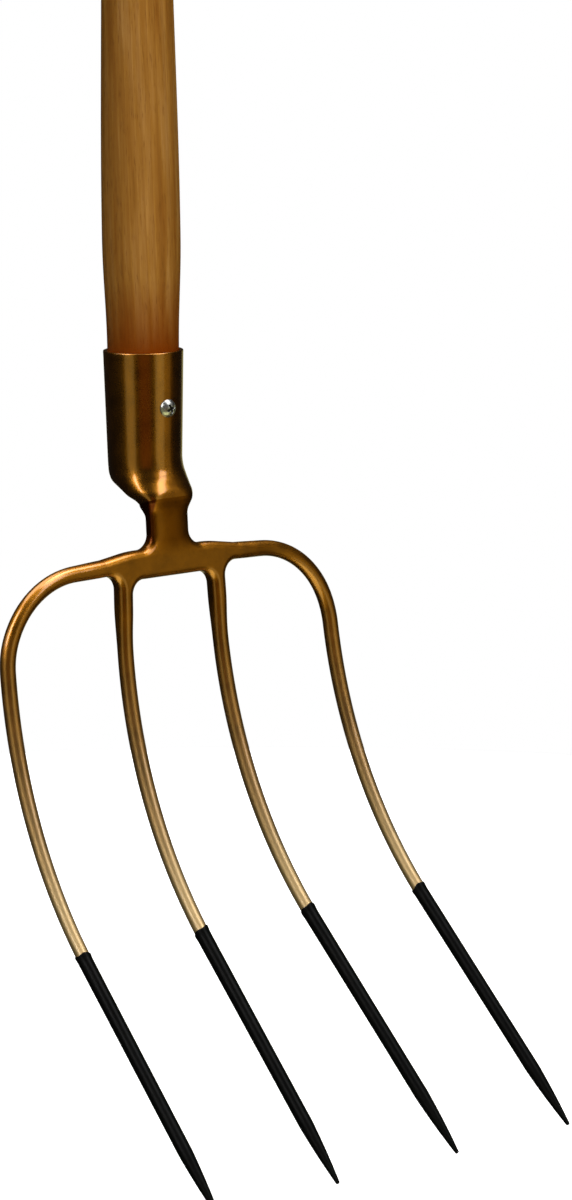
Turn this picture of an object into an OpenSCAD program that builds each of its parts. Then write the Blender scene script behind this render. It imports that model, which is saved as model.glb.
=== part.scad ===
// Four-tine manure fork: ash handle, conical steel socket, forged shoulder and curved round tines.
// Millimetres, +Z up the handle, -Y the hollow front of the tines.
// The origin is on the handle's axis, where the lower hand holds the straight grip.

/* [Handle] */
// Overall length of the wooden handle
handle_l = 1350; // [700:10:1800]
// Diameter of the straight grip
grip_d = 33; // [28:0.5:36]
// Diameter of the swell above the socket
swell_d = 38; // [36:0.5:46]
// Height of the thickest part of the swell above the socket mouth
swell_z = 55; // [30:1:110]
// Distance from the socket mouth to the start of the straight grip
taper_l = 240; // [160:5:360]
// Distance of the lower hand above the start of the straight grip
hold_rise = 60; // [20:5:200]
// Radius of the round edge at the handle's top end
top_round = 12; // [3:0.5:14]

/* [Socket] */
// Inside diameter of the socket at its mouth
mouth_d = 35; // [32:0.5:40]
// Thickness of the socket's steel
socket_wall = 2; // [1.2:0.1:3]
// Slope of the socket's wall, in degrees
socket_slope = 1.5; // [0.5:0.1:3]
// Length of the round part of the socket
tube_l = 52; // [40:1:90]
// Length of the drawn-in end of the socket, down its back
throat_l = 22; // [18:1:40]
// Tilt of the socket's lower edge, in degrees: its front is higher than its back
collar_tilt = 17; // [0:1:20]
// Width of the rolled seam down the back of the socket
seam_w = 1.2; // [0.6:0.1:3]
// Clearance between the handle's end and the socket
handle_fit = 0.1; // [0.05:0.01:0.3]

/* [Fixing screw] */
// Distance of the screw below the socket mouth
screw_drop = 27; // [15:1:38]
// Diameter of the screw's shank
screw_d = 4.5; // [3:0.1:6]
// Length of the screw under its head
screw_l = 26; // [12:1:30]
// Length of the screw's point
screw_point_l = 6; // [3:0.5:9]
// Diameter of the screw's domed head
screw_head_d = 9; // [7:0.1:12]
// Height of the screw's domed head
screw_head_h = 3; // [2:0.1:4]
// Length of each arm of the cross recess
recess_l = 5; // [3:0.1:6]
// Width of each arm of the cross recess
recess_w = 1.1; // [0.6:0.1:1.6]
// Depth of the cross recess
recess_h = 1.6; // [0.8:0.1:2]
// Clearance around the screw's shank
screw_fit = 0.1; // [0.05:0.01:0.3]

/* [Head] */
// Distance from the socket mouth down to the shoulder line
shoulder_drop = 101; // [95:1:130]
// Distance of the shoulder line in front of the handle's axis
head_set = 17.4; // [14:0.2:20]
// Lean of the neck and shoulder towards the front, in degrees
head_lean = 3; // [0:0.5:6]
// Width of the neck
neck_w = 23; // [16:0.5:25]
// Thickness of the forged neck and shoulder
plate_t = 9.5; // [8:0.1:12]
// Height of the shoulder's top edge above the shoulder line, beside the neck
shoulder_up = 6.6; // [5:0.1:9]
// Depth of the shoulder's bottom edge below the shoulder line, under the neck
shoulder_down = 7.6; // [5:0.1:10]
// Distance from the middle to the root of each outer tine
root_x = 41; // [38:0.5:48]
// Distance from the shoulder line down to the root of each inner tine
root_s = 19; // [16:0.5:26]
// Length of the tang inside the socket
tang_l = 6; // [2:0.5:7]
// Radius of the fillets beside the neck
neck_fillet = 7; // [3:0.5:8]
// Radius of the shoulder's top where it falls towards the outer tines
top_bend = 60; // [20:5:90]
// Radius of the fillets beside the inner tines
tine_fillet = 7; // [3:0.5:8]
// Radius of the forging's rounded edges
edge_r = 3.8; // [1:0.1:3.8]
// Height of the weld between socket and neck
weld_h = 9; // [2:0.1:10]

/* [Tines] */
// Distance from the middle to each inner tine, at the shoulder line
inner_x = 28.3; // [24:0.1:30]
// Distance from the middle to each outer tine, at the end of its bend
outer_x = 99.7; // [94:0.1:120]
// Outward lean of the inner tines, in degrees
inner_splay = 1.5; // [0:0.1:3]
// Outward lean of the outer tines, in degrees
outer_splay = 1.75; // [0:0.05:4]
// Radius of the outer tines' bend
bend_r = 44; // [30:1:50]
// Droop of the outer tines where they leave the shoulder, in degrees
outer_droop = 2.5; // [0:0.5:8]
// Straight length of the head below the shoulder line, before the sweep starts
straight_l = 28; // [27:1:60]
// Radius of the tines' forward sweep
sweep_r = 217; // [180:1:320]
// Angle of the tines' forward sweep, in degrees
sweep_angle = 43; // [25:1:45]
// Length of the tines below the shoulder line, along the sweep
reach = 329; // [300:1:380]
// Width of a tine at its root
root_w = 8.2; // [8:0.1:10]
// Width of a tine along its shank
shank_w = 7.8; // [7:0.1:8]
// Width of a tine where its point starts
tip_w = 6.3; // [5:0.1:7]
// Length over which the root narrows to the shank
root_l = 24; // [12:1:90]
// Length of the point
point_l = 34; // [15:1:50]
// Width of the blunt end of the point
point_w = 1.2; // [0.8:0.1:2]

/* [Black dip] */
// Length of the black dip, from the tip
dip_l = 145; // [90:1:160]
// Thickness of the black dip
dip_t = 0.3; // [0.15:0.05:0.5]

/* [Hidden] */
$fn = 64;

// Colours
wood_colour = [0.60, 0.42, 0.18];
lacquer_colour = [0.52, 0.37, 0.12];
weld_colour = [0.47, 0.33, 0.11];
zinc_colour = [0.62, 0.63, 0.62];
dip_colour = [0.06, 0.06, 0.06];

// Overrun of every cut past the face that it opens
overrun = 1;

// Places along the handle's axis
mouth_z = -taper_l - hold_rise;
tube_end_z = mouth_z - tube_l;
socket_slope_rate = tan(socket_slope);
// Space left between the handle's end and the end of the round tube
handle_end_gap = 2;
handle_end_z = tube_end_z + handle_end_gap;
handle_top_z = handle_end_z + handle_l;

// Radius of the socket's bore and of its outside, at a height
function bore_r(z) = mouth_d / 2 - (mouth_z - z) * socket_slope_rate;
function tube_r(z) = bore_r(z) + socket_wall;

// Steps in which a taper, a bend or a fillet is drawn
swell_steps = 14;
top_steps = 8;
ring_sides = 16;
throat_sides = 40;
fillet_steps = 6;
edge_steps = 3;
shank_step = 5;
point_steps = 7;

// Half a cosine wave, from 0 to 1 as share goes from 0 to 1
function ease(share) = (1 - cos(180 * share)) / 2;
function mix(a, b, share) = a + (b - a) * share;

// Angle of the head's plane at s below the shoulder line, measured from the handle's axis
sweep_l = sweep_r * sweep_angle * PI / 180;
function lean_at(s) = head_lean + sweep_angle * max(0, min(s - straight_l, sweep_l)) / sweep_l;

// Distance forward and down at s: straight, then an arc, then straight again
function forward_at(s) =
  min(s, straight_l) * sin(head_lean)
  + sweep_r * (cos(head_lean) - cos(lean_at(s)))
  + max(0, s - straight_l - sweep_l) * sin(lean_at(s));
function down_at(s) =
  min(s, straight_l) * cos(head_lean)
  + sweep_r * (sin(lean_at(s)) - sin(head_lean))
  + max(0, s - straight_l - sweep_l) * cos(lean_at(s));

// Place of a point of the flat blank, x across, s down and t forward, once the blank is swept
function set_point(x, s, t) = [
  x,
  -head_set - forward_at(s) - t * cos(lean_at(s)),
  mouth_z - shoulder_drop - down_at(s) + t * sin(lean_at(s))
];

// Closed oval: an ellipse at power 2, nearer to a rounded rectangle at a higher power
function oval(half_w, half_t, power, sides) = [
  for (i = [0 : sides - 1])
    let (a = 360 * i / sides)
      [half_w * sign(cos(a)) * pow(abs(cos(a)), 2 / power),
       half_t * sign(sin(a)) * pow(abs(sin(a)), 2 / power)]
];

// Solid skinned over a list of rings that have the same number of points.
// Each end is closed by a fan, or by a fan for each given face where the ring isn't convex.
module skin(rings, end_faces) {
  sides = len(rings[0]);
  last = len(rings) - 1;
  points = [for (ring = rings) each ring];
  walls = [
    for (r = [0 : last - 1], i = [0 : sides - 1])
      let (j = (i + 1) % sides, low = r * sides, high = low + sides)
        each [[low + i, high + j, high + i], [low + i, low + j, high + j]]
  ];
  faces = is_undef(end_faces) ? [[for (i = [0 : sides - 1]) i]] : end_faces;
  fans = [for (face = faces, i = [1 : len(face) - 2]) [face[0], face[i], face[i + 1]]];
  first_cap = [for (fan = fans) [fan[2], fan[1], fan[0]]];
  last_cap = [for (fan = fans) [for (i = fan) last * sides + i]];
  polyhedron(points, concat(walls, first_cap, last_cap), convexity = 8);
}

// Sleeve skinned over rings that run down its outside and back up its inside
module sleeve(rings) {
  sides = len(rings[0]);
  count = len(rings);
  points = [for (ring = rings) each ring];
  walls = [
    for (r = [0 : count - 1], i = [0 : sides - 1])
      let (j = (i + 1) % sides, low = r * sides, high = ((r + 1) % count) * sides)
        each [[low + i, high + j, high + i], [low + i, low + j, high + j]]
  ];
  polyhedron(points, walls, convexity = 8);
}

// Handle

function swell_r(z) =
  let (rise = z - mouth_z)
    rise < swell_z
      ? mix(bore_r(mouth_z) - handle_fit, swell_d / 2, ease(rise / swell_z))
      : mix(swell_d / 2, grip_d / 2, ease((rise - swell_z) / (taper_l - swell_z)));

module handle_turning() {
  lower_swell = [for (i = [0 : swell_steps]) mouth_z + swell_z * i / swell_steps];
  upper_swell = [
    for (i = [1 : swell_steps]) mouth_z + swell_z + (taper_l - swell_z) * i / swell_steps
  ];
  top_edge = [
    for (i = [0 : top_steps])
      let (a = 90 * i / top_steps)
        [grip_d / 2 - top_round * (1 - cos(a)), handle_top_z - top_round * (1 - sin(a))]
  ];
  rotate_extrude()
    polygon(concat(
      [[0, handle_end_z], [bore_r(handle_end_z) - handle_fit, handle_end_z]],
      [for (z = concat(lower_swell, upper_swell)) [swell_r(z), z]],
      top_edge,
      [[0, handle_top_z]]
    ));
}

module handle() {
  color(wood_colour)
    difference() {
      handle_turning();
      screw_place()
        translate([0, 0, -screw_l - overrun])
          cylinder(d = screw_d + 2 * screw_fit, h = screw_l + 2 * overrun);
    }
}

// Fixing screw

// Place of the screw: its head seats on the front of the socket and it points inwards
screw_z = mouth_z - screw_drop;
module screw_place() {
  translate([0, -tube_r(screw_z), screw_z])
    rotate([90, 0, 0])
      children();
}

// Depth by which the head's flat underside sinks into the curve of the socket
seat_depth = tube_r(screw_z) - sqrt(pow(tube_r(screw_z), 2) - pow(screw_head_d / 2, 2));

// Ball whose cap is the domed head
dome_r = (pow(screw_head_d / 2, 2) + pow(screw_head_h, 2)) / (2 * screw_head_h);

module fixing_screw() {
  color(zinc_colour)
    screw_place()
      difference() {
        union() {
          intersection() {
            translate([0, 0, screw_head_h - dome_r])
              sphere(r = dome_r);
            translate([0, 0, -seat_depth])
              cylinder(d = screw_head_d, h = screw_head_h + seat_depth);
          }
          translate([0, 0, -seat_depth])
            cylinder(d = screw_head_d, h = seat_depth);
          translate([0, 0, screw_point_l - screw_l])
            cylinder(d = screw_d, h = screw_l - screw_point_l);
          translate([0, 0, -screw_l])
            cylinder(d1 = 0, d2 = screw_d, h = screw_point_l);
        }
        for (turn = [0, 90])
          rotate([0, 0, turn])
            translate([-recess_l / 2, -recess_w / 2, screw_head_h - recess_h])
              cube([recess_l, recess_w, recess_h + overrun]);
      }
}

// Socket

// The collar that grips the neck: its height at its back, and its rise from the shoulder line
collar_z = tube_end_z - throat_l;
collar_rise = (collar_z - mouth_z + shoulder_drop) / cos(head_lean);
collar_tilt_rate = tan(collar_tilt);

// Place of the neck's middle plane at a height
function neck_y(z) = -head_set + (z - mouth_z + shoulder_drop) * tan(head_lean);

// The throat's sections, from the round tube to the collar that grips the neck.
// Shares of the way down, then of the way from tube to collar that is made there by the back wall,
// by the front wall, by the side walls and by the line where the section is widest.
throat_shares = [
  [0, 0, 0, 0, 0],
  [0.22, 0.01, 0.06, 0.01, 0.03],
  [0.44, 0.05, 0.15, 0.05, 0.11],
  [0.58, 0.15, 0.27, 0.09, 0.22],
  [0.71, 0.44, 0.48, 0.14, 0.40],
  [0.82, 0.76, 0.84, 0.27, 0.56],
  [0.91, 0.95, 0.99, 0.70, 0.80],
  [1, 1, 1, 1, 1]
];
// Squareness of the collar's outside, and of the hole in it for the neck
collar_power = 4;
hole_power = 8;
// Clearance between the neck and the collar round it
collar_fit = 0.1;
// Half the width and half the thickness of the collar's outside
collar_w = neck_w / 2 + collar_fit + socket_wall;
collar_t = plate_t / 2 + collar_fit + socket_wall;
// Height of the seam's lower end above the throat
seam_end_rise = 3;

// One section of the throat, drawn in by an inset from its outside
function throat_ring(shares, inset, end_power) =
  let (
    round_r = tube_r(tube_end_z),
    back = mix(round_r, neck_y(collar_z) + collar_t, shares[1]),
    front = mix(-round_r, neck_y(collar_z) - collar_t, shares[2]),
    side = mix(round_r, collar_w, shares[3]),
    widest = mix(0, neck_y(collar_z), shares[4]),
    power = mix(2, end_power, shares[3])
  )
    [for (p = oval(side - inset, 1, power, throat_sides))
      let (
        depth = (p.y > 0 ? back - widest : widest - front) - inset,
        y = widest + p.y * depth,
        end_z = collar_z + collar_tilt_rate * (back - y)
      )
        [p.x, y, mix(tube_end_z, end_z, shares[0])]];

// One round section of the tube
function tube_ring(r, z) = [for (p = oval(r, r, 2, throat_sides)) [p.x, p.y, z]];

module socket_body() {
  throat_count = len(throat_shares);
  sleeve(concat(
    [tube_ring(tube_r(mouth_z), mouth_z)],
    [for (shares = throat_shares) throat_ring(shares, 0, collar_power)],
    [for (i = [throat_count - 1 : -1 : 0]) throat_ring(throat_shares[i], socket_wall, hole_power)],
    [tube_ring(bore_r(mouth_z), mouth_z)]
  ));
}

module socket() {
  color(lacquer_colour)
    difference() {
      socket_body();
      screw_place()
        translate([0, 0, -screw_head_d])
          cylinder(d = screw_d + 2 * screw_fit, h = screw_head_d + overrun);
      screw_place()
        translate([0, 0, -seat_depth])
          cylinder(d = screw_head_d, h = screw_head_h);
      translate([-seam_w / 2, 0, tube_end_z + seam_end_rise])
        cube([seam_w, tube_r(mouth_z) + overrun, tube_l - seam_end_rise + overrun]);
    }
}

// Weld

// Shares of the weld's height, and of its full thickness there
weld_shares = [[0, 0.95], [0.15, 0.86], [0.35, 0.56], [0.6, 0.22], [1, 0.06]];

function weld_ring(height_share, thick_share) =
  let (
    z = collar_z - weld_h * height_share,
    half_w = neck_w / 2 + collar_fit + socket_wall * thick_share,
    half_t = plate_t / 2 + collar_fit + socket_wall * thick_share,
    power = mix(hole_power, collar_power, thick_share)
  )
    [for (p = oval(half_w, half_t, power, throat_sides))
      [p.x, p.y + neck_y(z), z + collar_tilt_rate * (collar_t - p.y)]];

module socket_weld() {
  color(weld_colour)
    sleeve(concat(
      [for (shares = weld_shares) weld_ring(shares[0], shares[1])],
      [for (i = [len(weld_shares) - 1 : -1 : 0]) weld_ring(weld_shares[i][0], 0)]
    ));
}

// Head forging

// Corner of an outline replaced by an arc, as points with the outline's inward direction at each.
// A corner of radius zero belongs to a flat end face, and its inward direction runs along that face.
function unit(v) = v / norm(v);
function left_of(v) = [-v.y, v.x];
function end_point(before, here, after, after_is_end) =
  [here, after_is_end ? unit(after - here) : unit(before - here)];
function arc_points(before, here, after, radius) =
  let (
    in_dir = unit(here - before),
    out_dir = unit(after - here),
    turn = atan2(in_dir.x * out_dir.y - in_dir.y * out_dir.x, in_dir * out_dir),
    setback = radius * tan(abs(turn) / 2),
    start = here - in_dir * setback,
    centre = start + left_of(in_dir) * radius * sign(turn)
  )
    [for (i = [0 : fillet_steps])
      let (
        a = turn * i / fillet_steps,
        inward = [
          left_of(in_dir).x * cos(a) - left_of(in_dir).y * sin(a),
          left_of(in_dir).x * sin(a) + left_of(in_dir).y * cos(a)
        ]
      )
        [centre - inward * radius * sign(turn), inward]];
function rounded_outline(corners) = [
  for (i = [0 : len(corners) - 1])
    let (
      count = len(corners),
      last = corners[(i + count - 1) % count],
      here = corners[i],
      next = corners[(i + 1) % count],
      last_p = [last.x, last.y],
      here_p = [here.x, here.y],
      next_p = [next.x, next.y]
    )
      each here[2] == 0
        ? [end_point(last_p, here_p, next_p, next[2] == 0)]
        : arc_points(last_p, here_p, next_p, here[2])
];

// Right half of the forging's outline from the bottom up: x, height above the shoulder line, radius
tang_top = collar_rise + tang_l;
tang_round = neck_w / 4;
stub_w = root_w / cos(inner_splay);
stub_mid = inner_x + root_s * tan(inner_splay);
stub_half = root_w / 2 * cos(inner_splay);
stub_tilt = root_w / 2 * sin(inner_splay);
root_rise = root_w / 2 * cos(outer_droop);
root_shift = root_w / 2 * sin(outer_droop);
// Reach of the shoulder's full height beside the neck, as a share of the way to the outer tine
full_height_share = 0.45;
half_outline = [
  [inner_x - stub_w / 2, -shoulder_down, tine_fillet],
  [stub_mid - stub_half, -root_s - stub_tilt, 0],
  [stub_mid + stub_half, -root_s + stub_tilt, 0],
  [inner_x + stub_w / 2, -root_rise, tine_fillet],
  [root_x - root_shift, -root_rise, 0],
  [root_x + root_shift, root_rise, 0],
  [mix(neck_w / 2, root_x, full_height_share), shoulder_up, top_bend],
  [neck_w / 2, shoulder_up, neck_fillet],
  [neck_w / 2, tang_top, tang_round]
];
head_outline = concat(
  half_outline,
  [for (i = [len(half_outline) - 1 : -1 : 0])
    [-half_outline[i].x, half_outline[i].y, half_outline[i][2]]]
);

// How far the outline is drawn in at each level of thickness, from the front face to the back
edge_levels = concat(
  [for (i = [0 : edge_steps])
    let (a = 90 * i / edge_steps)
      [edge_r * (1 - sin(a)), plate_t / 2 - edge_r * (1 - cos(a))]],
  [for (i = [edge_steps : -1 : 0])
    let (a = 90 * i / edge_steps)
      [edge_r * (1 - sin(a)), -plate_t / 2 + edge_r * (1 - cos(a))]]
);

// Flat faces of the forging, as convex pieces of its outline.
// The outline's points are numbered from the first corner, and an arc has one more than its steps.
arc_count = fillet_steps + 1;
inner_arc = 0;
stub_ends = arc_count;
outer_arc = stub_ends + 2;
root_ends = outer_arc + arc_count;
top_arc = root_ends + 2;
neck_arc = top_arc + arc_count;
half_count = neck_arc + 2 * arc_count;
function mirrored(i) = 2 * half_count - 1 - i;
right_faces = concat(
  [for (i = [0 : fillet_steps - 1])
    [inner_arc + i, inner_arc + i + 1, outer_arc + fillet_steps - i - 1, outer_arc + fillet_steps - i]],
  [[stub_ends - 1, stub_ends, stub_ends + 1, outer_arc]],
  [concat([inner_arc], [for (i = [root_ends - 1 : neck_arc]) i])]
);
left_faces = [for (face = right_faces) [for (i = [len(face) - 1 : -1 : 0]) mirrored(face[i])]];
middle_faces = concat(
  [[inner_arc, neck_arc, mirrored(neck_arc), mirrored(inner_arc)]],
  [for (i = [neck_arc : half_count - 2]) [i, i + 1, mirrored(i + 1), mirrored(i)]]
);

module head_forging() {
  outline = rounded_outline(head_outline);
  color(lacquer_colour)
    skin(
      [for (level = edge_levels)
        [for (corner = outline)
          let (p = corner[0] + corner[1] * level[0])
            set_point(p.x, -p.y, level[1])]],
      concat(right_faces, left_faces, middle_faces)
    );
}

// Tines

// Stretches of the outer tine's middle line on the flat blank: run, bend and leg
bend_end_angle = 90 - outer_splay;
bend_x = outer_x - bend_r * sin(bend_end_angle);
run_end_x = bend_x + bend_r * sin(outer_droop);
run_l = (run_end_x - root_x) / cos(outer_droop);
bend_s = run_l * sin(outer_droop) + bend_r * cos(outer_droop);
bend_l = bend_r * (bend_end_angle - outer_droop) * PI / 180;
leg_s = bend_s - bend_r * cos(bend_end_angle);
outer_l = run_l + bend_l + (reach - leg_s) / cos(outer_splay);
inner_l = (reach - root_s) / cos(inner_splay);

// Place on the flat blank and heading, at a distance along each tine's middle line
function inner_at(q) =
  [stub_mid + q * sin(inner_splay), root_s + q * cos(inner_splay), 90 - inner_splay];
function outer_at(q) =
  q < run_l
    ? [root_x + q * cos(outer_droop), q * sin(outer_droop), outer_droop]
    : q < run_l + bend_l
      ? let (a = outer_droop + (q - run_l) / bend_r * 180 / PI)
          [bend_x + bend_r * sin(a), bend_s - bend_r * cos(a), a]
      : let (leg = q - run_l - bend_l)
          [outer_x + leg * sin(outer_splay), leg_s + leg * cos(outer_splay), bend_end_angle];
function tine_at(is_outer, q) = is_outer ? outer_at(q) : inner_at(q);
function tine_l(is_outer) = is_outer ? outer_l : inner_l;

// Width and thickness of a tine at q along a length: root, shank, taper and point
root_power = 3;
function taper_size(root, q, l) =
  let (
    near_root = mix(root, shank_w, ease(min(1, q / root_l))),
    thinning = mix(0, shank_w - tip_w, ease(max(0, min(1, (q - root_l) / (l - point_l - root_l))))),
    to_tip = max(0, min(1, (q - l + point_l) / point_l))
  )
    mix(near_root - thinning, point_w, to_tip * (1 + to_tip) / 2);

// Section of a tine at q, grown by the thickness of a coat and moved on by a coat's end
function tine_ring(is_outer, q, coat, past) =
  let (
    l = tine_l(is_outer),
    mid = tine_at(is_outer, q + past),
    half_w = taper_size(root_w, q, l) / 2 + coat,
    half_t = taper_size(plate_t, q, l) / 2 + coat,
    power = mix(root_power, 2, ease(min(1, q / root_l)))
  )
    [for (p = oval(half_w, half_t, power, ring_sides))
      set_point(mid.x + p.x * sin(mid[2]), mid.y - p.x * cos(mid[2]), -p.y)];

// Distances along a tine at which its rings lie, above the dip's edge and below it
function shank_stations(is_outer) =
  let (l = tine_l(is_outer) - dip_l, steps = ceil(l / shank_step))
    [for (i = [0 : steps - 1]) l * i / steps];
function dip_stations(is_outer) =
  let (l = tine_l(is_outer), dip_steps = ceil((dip_l - point_l) / (4 * shank_step)))
    concat(
      [for (i = [0 : dip_steps - 1]) l - dip_l + (dip_l - point_l) * i / dip_steps],
      [for (i = [0 : point_steps]) l - point_l + point_l * i / point_steps]
    );

module tine(is_outer) {
  color(lacquer_colour)
    skin([
      for (q = concat(shank_stations(is_outer), dip_stations(is_outer)))
        tine_ring(is_outer, q, 0, 0)
    ]);
}

// Black dip: a closed-ended sleeve on the tine's own surface
module tip_coat(is_outer) {
  stations = dip_stations(is_outer);
  end_q = tine_l(is_outer);
  color(dip_colour)
    skin(concat(
      [for (i = [len(stations) - 1 : -1 : 0]) tine_ring(is_outer, stations[i], 0, 0)],
      [for (q = stations) tine_ring(is_outer, q, dip_t, 0)],
      [tine_ring(is_outer, end_q, 0, dip_t)]
    ));
}

module tine_right_inner() tine(false);
module tine_right_outer() tine(true);
module tine_left_inner() mirror([1, 0, 0]) tine(false);
module tine_left_outer() mirror([1, 0, 0]) tine(true);
module tip_coat_right_inner() tip_coat(false);
module tip_coat_right_outer() tip_coat(true);
module tip_coat_left_inner() mirror([1, 0, 0]) tip_coat(false);
module tip_coat_left_outer() mirror([1, 0, 0]) tip_coat(true);

handle();
socket();
socket_weld();
fixing_screw();
head_forging();
tine_left_outer();
tine_left_inner();
tine_right_inner();
tine_right_outer();
tip_coat_left_outer();
tip_coat_left_inner();
tip_coat_right_inner();
tip_coat_right_outer();
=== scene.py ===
"""Looks of a four-tine manure fork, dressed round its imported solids.

Sizes are in millimetres unless a comment says metres, and those of the solids repeat the part's
own. Meshes are made in metres, in the part's frame: +Z runs up the handle and -Y is the hollow
front of the tines.
"""
import math

import bmesh
import bpy
import numpy as np
from mathutils import Matrix, Vector


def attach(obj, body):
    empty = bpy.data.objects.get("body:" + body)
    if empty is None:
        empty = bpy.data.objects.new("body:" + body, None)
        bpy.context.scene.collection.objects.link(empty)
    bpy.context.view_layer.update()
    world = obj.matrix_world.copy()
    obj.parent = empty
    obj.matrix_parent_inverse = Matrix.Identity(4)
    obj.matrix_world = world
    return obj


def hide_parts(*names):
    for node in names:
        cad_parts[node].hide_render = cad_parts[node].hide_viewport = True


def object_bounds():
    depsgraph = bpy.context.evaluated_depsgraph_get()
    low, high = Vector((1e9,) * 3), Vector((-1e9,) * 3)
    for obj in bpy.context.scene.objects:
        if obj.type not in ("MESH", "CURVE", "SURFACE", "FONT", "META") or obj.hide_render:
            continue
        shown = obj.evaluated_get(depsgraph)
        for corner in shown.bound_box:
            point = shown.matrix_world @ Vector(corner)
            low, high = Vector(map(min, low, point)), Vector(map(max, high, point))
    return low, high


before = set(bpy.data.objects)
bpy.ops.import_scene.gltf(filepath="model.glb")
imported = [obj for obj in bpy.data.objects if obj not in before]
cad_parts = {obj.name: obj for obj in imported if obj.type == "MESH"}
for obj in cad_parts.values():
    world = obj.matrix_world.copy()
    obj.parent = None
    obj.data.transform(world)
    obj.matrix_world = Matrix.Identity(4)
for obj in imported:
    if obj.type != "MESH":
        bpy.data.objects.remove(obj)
cad_low, cad_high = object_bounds()

MM = 0.001
BODY = "root"

# Handle
HANDLE_L = 1350.0
GRIP_D = 33.0
SWELL_D = 38.0
# Heights above the socket's mouth of the swell and of the start of the straight grip
SWELL_Z = 55.0
TAPER_L = 240.0
# Height of the lower hand, where the frame's origin is, above the start of the grip
HOLD_RISE = 60.0
TOP_ROUND = 12.0
# Clearance in the socket, and the space between the handle's end and that of the round tube
HANDLE_FIT = 0.1
HANDLE_END_GAP = 2.0

# Socket, a round tube with a throat that is drawn in to the collar
MOUTH_D = 35.0
SOCKET_WALL = 2.0
SOCKET_SLOPE = math.radians(1.5)
TUBE_L = 52.0
THROAT_L = 22.0
COLLAR_TILT = math.radians(17)
SEAM_W = 1.2
# Height of the seam's lower end above the end of the round tube
SEAM_END_RISE = 3.0
LIP_R = 0.45
# Squareness of the collar's outside and of the hole in it for the neck, and the clearance there
COLLAR_POWER = 4.0
HOLE_POWER = 8.0
COLLAR_FIT = 0.1
WELD_H = 9.0

# Fixing screw
SCREW_DROP = 27.0
SCREW_HEAD_D = 9.0
SCREW_HEAD_H = 3.0
RECESS_L = 5.0
RECESS_W = 1.1
RECESS_H = 1.6

# Head
# The shoulder's line lies below the socket's mouth and in front of the handle's axis
SHOULDER_DROP = 101.0
HEAD_SET = 17.4
HEAD_LEAN = math.radians(3)
NECK_W = 23.0
PLATE_T = 9.5
# Heights of the shoulder's edges above and below its line
SHOULDER_UP = 6.6
SHOULDER_DOWN = 7.6
# Distance of the outer tines' roots from the middle, and of the inner ones below the line
ROOT_X = 41.0
ROOT_S = 19.0
TANG_L = 6.0
NECK_FILLET = 7.0
TOP_BEND = 60.0
TINE_FILLET = 7.0
EDGE_R = 3.8
# Share of the way from the neck to the outer tines over which the shoulder has its full height
FULL_HEIGHT_SHARE = 0.45

# Tines
# Distances from the middle, at the shoulder's line and at the end of the outer tines' bend
INNER_X = 28.3
OUTER_X = 99.7
INNER_SPLAY = math.radians(1.5)
OUTER_SPLAY = math.radians(1.75)
BEND_R = 44.0
OUTER_DROOP = math.radians(2.5)
# The forward sweep starts below a straight length of the head, and the reach is measured along it
STRAIGHT_L = 28.0
SWEEP_R = 217.0
SWEEP_ANGLE = math.radians(43)
REACH = 329.0
ROOT_W = 8.2
SHANK_W = 7.8
TIP_W = 6.3
ROOT_L = 24.0
POINT_L = 34.0
POINT_W = 1.2
DIP_L = 145.0
DIP_T = 0.3

# Places along the handle's axis
MOUTH_Z = -TAPER_L - HOLD_RISE
TUBE_END_Z = MOUTH_Z - TUBE_L
COLLAR_Z = TUBE_END_Z - THROAT_L
HANDLE_END_Z = TUBE_END_Z + HANDLE_END_GAP
HANDLE_TOP_Z = HANDLE_END_Z + HANDLE_L
SCREW_Z = MOUTH_Z - SCREW_DROP
SWEEP_L = SWEEP_R * SWEEP_ANGLE

# Half the width and half the thickness of the collar's outside
COLLAR_W = NECK_W / 2 + COLLAR_FIT + SOCKET_WALL
COLLAR_T = PLATE_T / 2 + COLLAR_FIT + SOCKET_WALL

# Fineness of the meshes
HANDLE_SIDES = 96
SWELL_ROWS = 30
TAPER_ROWS = 60
GRIP_ROWS = 90
TOP_ROWS = 16
SOCKET_SIDES = 144
FILLET_STEPS = 20
EDGE_STEPS = 10
TINE_QUARTER = 12
TINE_STEP = 1.6
SHARP_ANGLE = math.radians(38)


def ease(share):
    """Half a cosine wave, from 0 to 1 as share goes from 0 to 1."""
    return (1 - np.cos(np.pi * share)) / 2


def mix(a, b, share):
    return a + (b - a) * share


def bore_r(z):
    """Radius of the socket's bore at a height."""
    return MOUTH_D / 2 - (MOUTH_Z - z) * math.tan(SOCKET_SLOPE)


def tube_r(z):
    """Radius of the socket's outside at a height."""
    return bore_r(z) + SOCKET_WALL


def lean_at(s):
    """Lean of the head and tines towards the front, at a distance down the flat blank."""
    return HEAD_LEAN + SWEEP_ANGLE * np.clip((s - STRAIGHT_L) / SWEEP_L, 0, 1)


def set_point(x, s, t):
    """Place of a point of the flat blank, x across, s down and t forward, once it is swept."""
    lean = lean_at(s)
    before = np.minimum(s, STRAIGHT_L)
    past = np.maximum(0, s - STRAIGHT_L - SWEEP_L)
    forward = (
        before * math.sin(HEAD_LEAN)
        + SWEEP_R * (math.cos(HEAD_LEAN) - np.cos(lean))
        + past * np.sin(lean)
    )
    down = (
        before * math.cos(HEAD_LEAN)
        + SWEEP_R * (np.sin(lean) - math.sin(HEAD_LEAN))
        + past * np.cos(lean)
    )
    y = -HEAD_SET - forward - t * np.cos(lean)
    z = MOUTH_Z - SHOULDER_DROP - down + t * np.sin(lean)
    return np.stack(np.broadcast_arrays(x, y, z), -1)


def oval(half_w, half_t, power, angles):
    """Closed oval: an ellipse at power 2, nearer to a rounded rectangle at a higher power."""
    c = np.cos(angles)
    s = np.sin(angles)
    x = half_w * np.sign(c) * np.abs(c) ** (2 / power)
    y = half_t * np.sign(s) * np.abs(s) ** (2 / power)
    return x, y


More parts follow.
